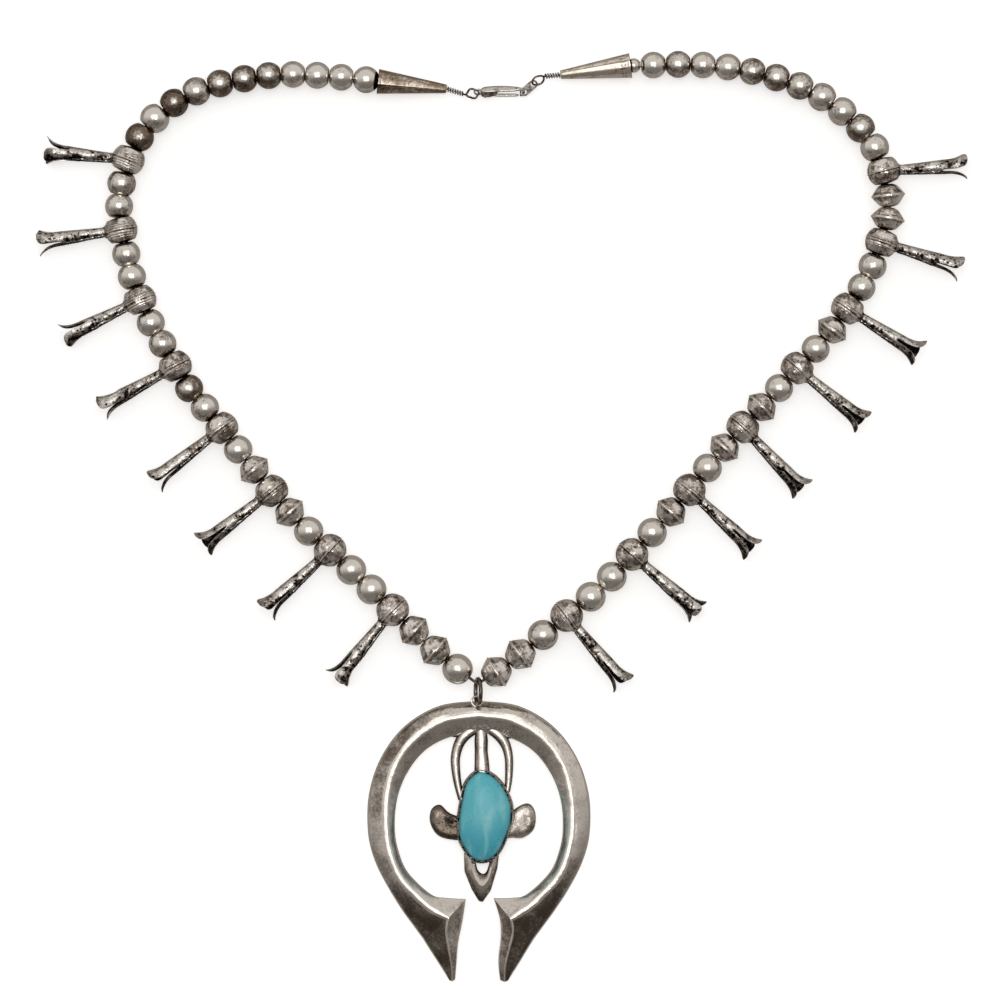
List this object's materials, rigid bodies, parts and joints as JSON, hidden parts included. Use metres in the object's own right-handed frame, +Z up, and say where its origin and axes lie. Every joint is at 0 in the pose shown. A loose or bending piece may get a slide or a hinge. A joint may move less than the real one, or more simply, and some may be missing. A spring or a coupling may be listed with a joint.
{
  "type": "squash blossom necklace",
  "caption": "Silver bead necklace laid in a closed loop, with blossom beads along both sides, a crescent pendant set with a turquoise, end cones and a lobster clasp.",
  "frame": {"origin": "middle of the necklace's outline on the table it lies on", "axes": "+Y from the pendant toward the clasp, +X to the right of the laid loop seen from above with the clasp at the top, +Z up from the table"},
  "size_m": [0.3101, 0.3105, 0.0116],
  "materials": {
    "cast_silver": "cast silver, worn bright on the ridges, dark patina in the hollows",
    "bead_silver": "hand worked hollow silver beads, satin, with brown tarnish",
    "blossom_silver": "soldered sheet silver, dark pitted patina, bright stems",
    "clasp_silver": "polished silver findings",
    "turquoise": "polished turquoise cabochon",
    "thread": "stringing cable"
  },
  "bodies": {
    "necklace": {"naja": "cast_silver", "turquoise_stone": "turquoise", "bail_ring": "clasp_silver", "thread": "thread", "round_beads_left": "bead_silver", "round_beads_right": "bead_silver", "mouth_bead": "bead_silver", "cone_left": "clasp_silver", "cone_right": "clasp_silver", "wire_loop_left": "clasp_silver", "wire_loop_right": "clasp_silver", "clasp_body": "clasp_silver", "chain_tag": "clasp_silver", "bicone_left_1": "blossom_silver", "bicone_left_2": "blossom_silver", "bicone_left_3": "blossom_silver", "bicone_left_4": "blossom_silver", "bicone_right_1": "blossom_silver", "bicone_right_2": "blossom_silver", "bicone_right_3": "blossom_silver", "bicone_right_4": "blossom_silver", "bicone_right_5": "blossom_silver", "bicone_right_6": "blossom_silver", "bicone_right_7": "blossom_silver", "bicone_right_8": "blossom_silver", "blossom_left_1": "blossom_silver", "blossom_left_2": "blossom_silver", "blossom_left_3": "blossom_silver", "blossom_left_4": "blossom_silver", "blossom_left_5": "blossom_silver", "blossom_left_6": "blossom_silver", "blossom_left_7": "blossom_silver", "blossom_left_8": "blossom_silver", "blossom_right_1": "blossom_silver", "blossom_right_2": "blossom_silver", "blossom_right_3": "blossom_silver", "blossom_right_4": "blossom_silver", "blossom_right_5": "blossom_silver", "blossom_right_6": "blossom_silver", "blossom_right_7": "blossom_silver", "blossom_right_8": "blossom_silver"},
    "lever": {"clasp_lever": "clasp_silver"}
  },
  "joints": [
    {"name": "clasp_lever_hinge", "type": "hinge", "parent": "necklace", "child": "lever", "pos_m": [-0.0042, 0.14181, 0.00234], "axis": [0, -0.8192, 0.5736], "range_deg": [0, 10], "stiffness_Nm_per_rad": 0.0002, "springref_deg": -9.74}
  ]
}
